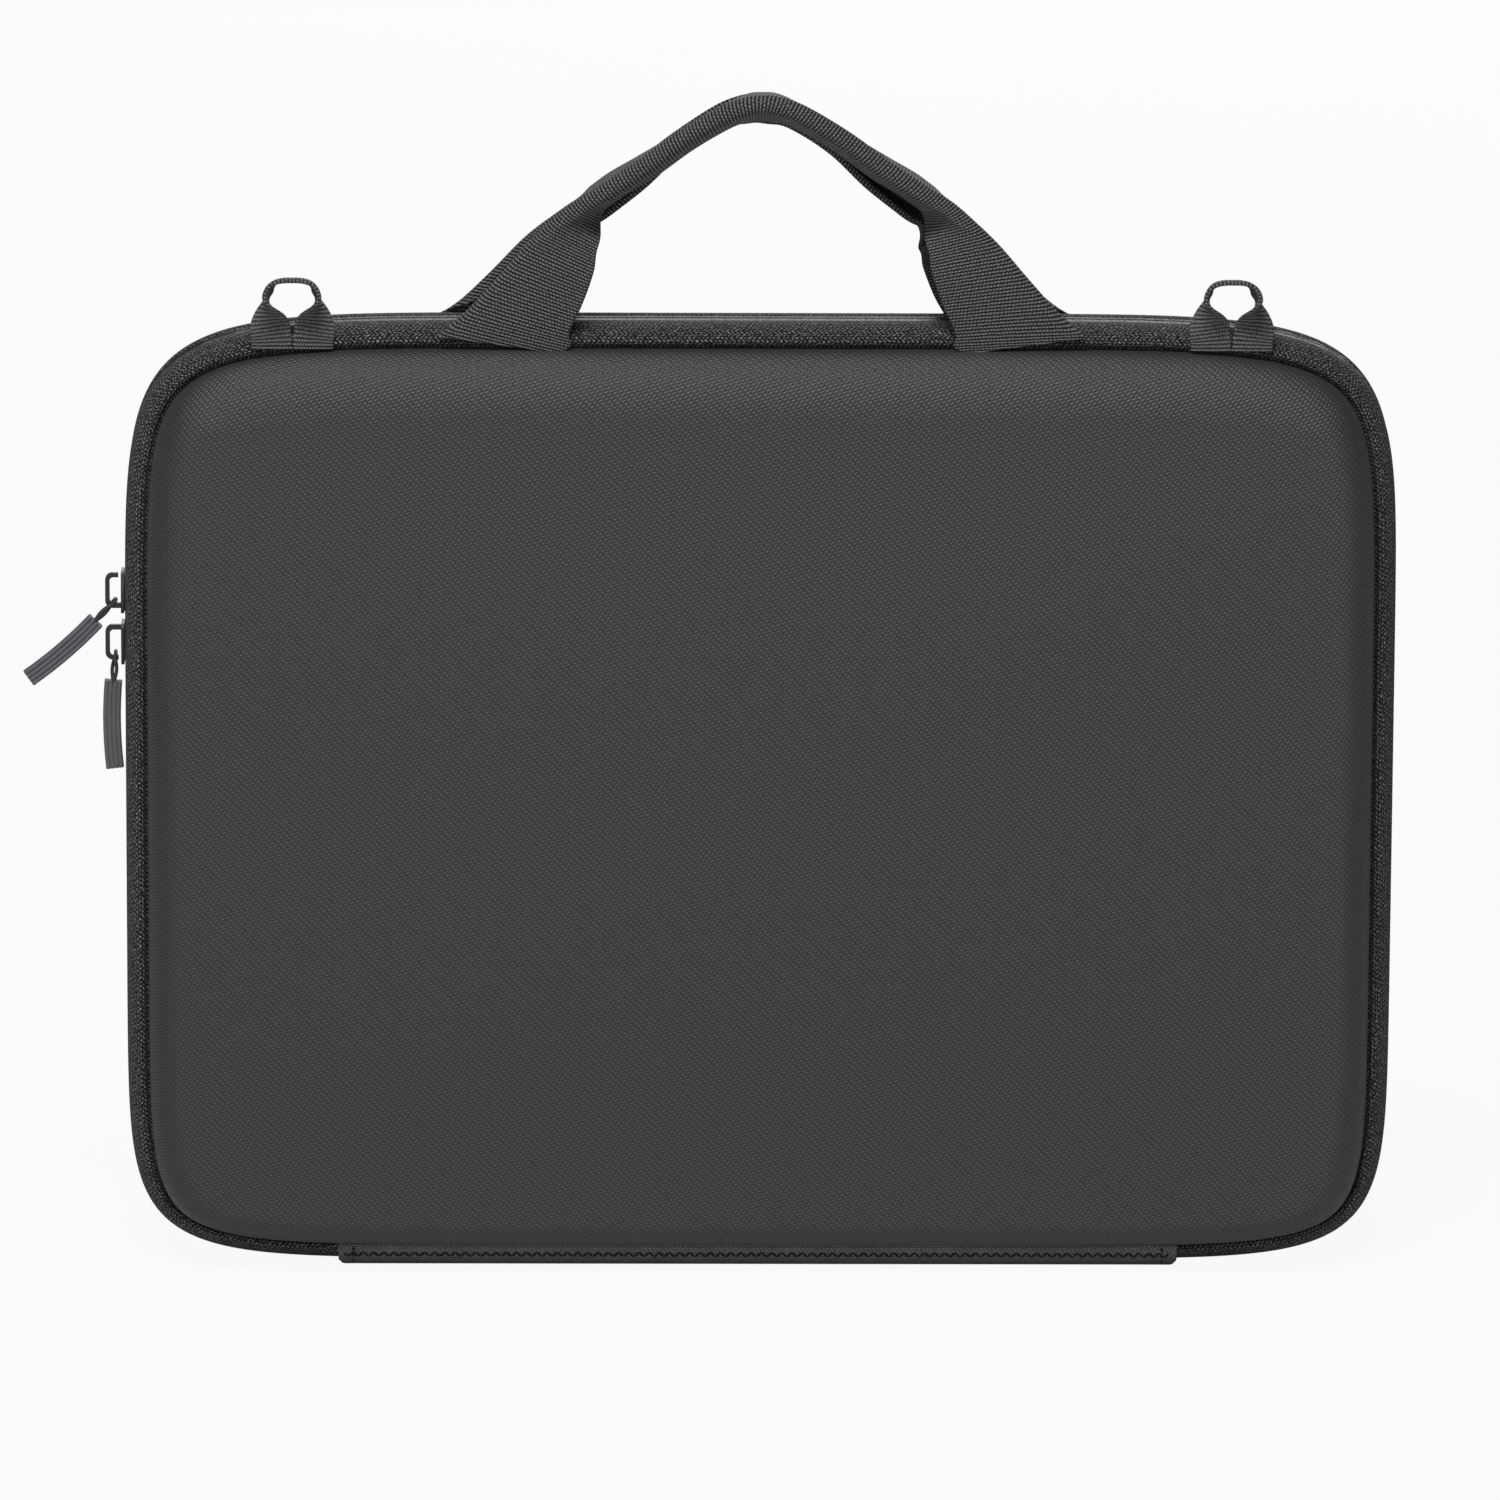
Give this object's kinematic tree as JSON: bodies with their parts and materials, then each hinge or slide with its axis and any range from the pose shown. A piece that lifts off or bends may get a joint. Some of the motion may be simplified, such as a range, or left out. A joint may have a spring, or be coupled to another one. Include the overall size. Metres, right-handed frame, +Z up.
{
  "type": "laptop_case",
  "caption": "Zipped hard-shell case for a 15.6 inch laptop: two moulded fabric-covered shells on a soft hinge, a two-slider zip, webbing carry handles and strap loops.",
  "frame": {"origin": "middle of the flat underside of the hinge strip, on the plane of the zip, which the case stands on", "axes": "+X right along the case's width, the front shell faces -Y, +Z up to the handles"},
  "size_m": [0.4268, 0.056, 0.3749],
  "materials": {
    "moulded_shell": "fine dobby-woven nylon laminated over moulded foam, dull charcoal",
    "plush_lining": "short plush, dark grey",
    "zip_tape": "coarse zigzag-woven zip tape and piping, dark grey",
    "zip_teeth": "moulded plastic zip teeth, near black",
    "binding": "woven seam binding, near black",
    "hinge_fabric": "smooth woven nylon strip, dull charcoal",
    "slider_metal": "black enamelled zinc, soft gloss",
    "pull_cord": "braided cord, black with a soft sheen",
    "pull_grip": "ridged soft plastic, mid grey, satin",
    "webbing": "ribbed woven webbing, dark grey",
    "elastic": "ribbed elastic tape, black",
    "net": "knitted net with a plain hem, near black"
  },
  "bodies": {
    "back_half": {"back_shell": "moulded_shell", "back_lining": "plush_lining", "back_zip_tape": "zip_tape", "back_zip_teeth": "zip_teeth", "back_seam_binding": "binding", "hinge_strip": "hinge_fabric", "hinge_lining": "plush_lining", "corner_straps": "elastic"},
    "lid": {"front_shell": "moulded_shell", "front_lining": "plush_lining", "front_zip_tape": "zip_tape", "front_zip_teeth": "zip_teeth", "front_seam_binding": "binding", "pocket_net": "net", "pocket_binding": "binding"},
    "front_handle": {"front_handle": "webbing"},
    "back_handle": {"back_handle": "webbing"},
    "left_loop": {"strap_loop_left": "webbing"},
    "right_loop": {"strap_loop_right": "webbing"},
    "upper_slider": {"upper_slider_body": "slider_metal", "upper_slider_crown": "slider_metal"},
    "lower_slider": {"lower_slider_body": "slider_metal", "lower_slider_crown": "slider_metal"},
    "upper_pull": {"upper_pull_cord": "pull_cord", "upper_pull_grip": "pull_grip"},
    "lower_pull": {"lower_pull_cord": "pull_cord", "lower_pull_grip": "pull_grip"}
  },
  "joints": [
    {"name": "lid_hinge", "type": "hinge", "parent": "back_half", "child": "lid", "pos_m": [0, 0, 0], "axis": [1, 0, 0], "range_deg": [0, 180], "deforming": ["hinge_strip", "hinge_lining", "back_zip_teeth", "front_zip_teeth"]},
    {"name": "front_handle_fold", "type": "hinge", "parent": "lid", "child": "front_handle", "pos_m": [0, -0.0168, 0.2947], "axis": [1, 0, 0], "range_deg": [0, 95]},
    {"name": "back_handle_fold", "type": "hinge", "parent": "back_half", "child": "back_handle", "pos_m": [0, 0.0168, 0.2947], "axis": [-1, 0, 0], "range_deg": [0, 95]},
    {"name": "left_loop_fold", "type": "hinge", "parent": "lid", "child": "left_loop", "pos_m": [-0.145, -0.0162, 0.2947], "axis": [1, 0, 0], "range_deg": [0, 80]},
    {"name": "right_loop_fold", "type": "hinge", "parent": "lid", "child": "right_loop", "pos_m": [0.145, -0.0162, 0.2947], "axis": [1, 0, 0], "range_deg": [0, 80]},
    {"name": "upper_slider_run", "type": "slide", "parent": "back_half", "child": "upper_slider", "axis": [0, 0, 1], "range_m": [0, 0.018]},
    {"name": "lower_slider_run", "type": "slide", "parent": "back_half", "child": "lower_slider", "axis": [0, 0, 1], "range_m": [-0.125, 0]},
    {"name": "upper_pull_swing", "type": "hinge", "parent": "upper_slider", "child": "upper_pull", "pos_m": [-0.2006, 0, 0.2114], "axis": [0, 1, 0], "range_deg": [0, 120]},
    {"name": "lower_pull_swing", "type": "hinge", "parent": "lower_slider", "child": "lower_pull", "pos_m": [-0.2006, 0, 0.1947], "axis": [0, 1, 0], "range_deg": [0, 45]}
  ]
}
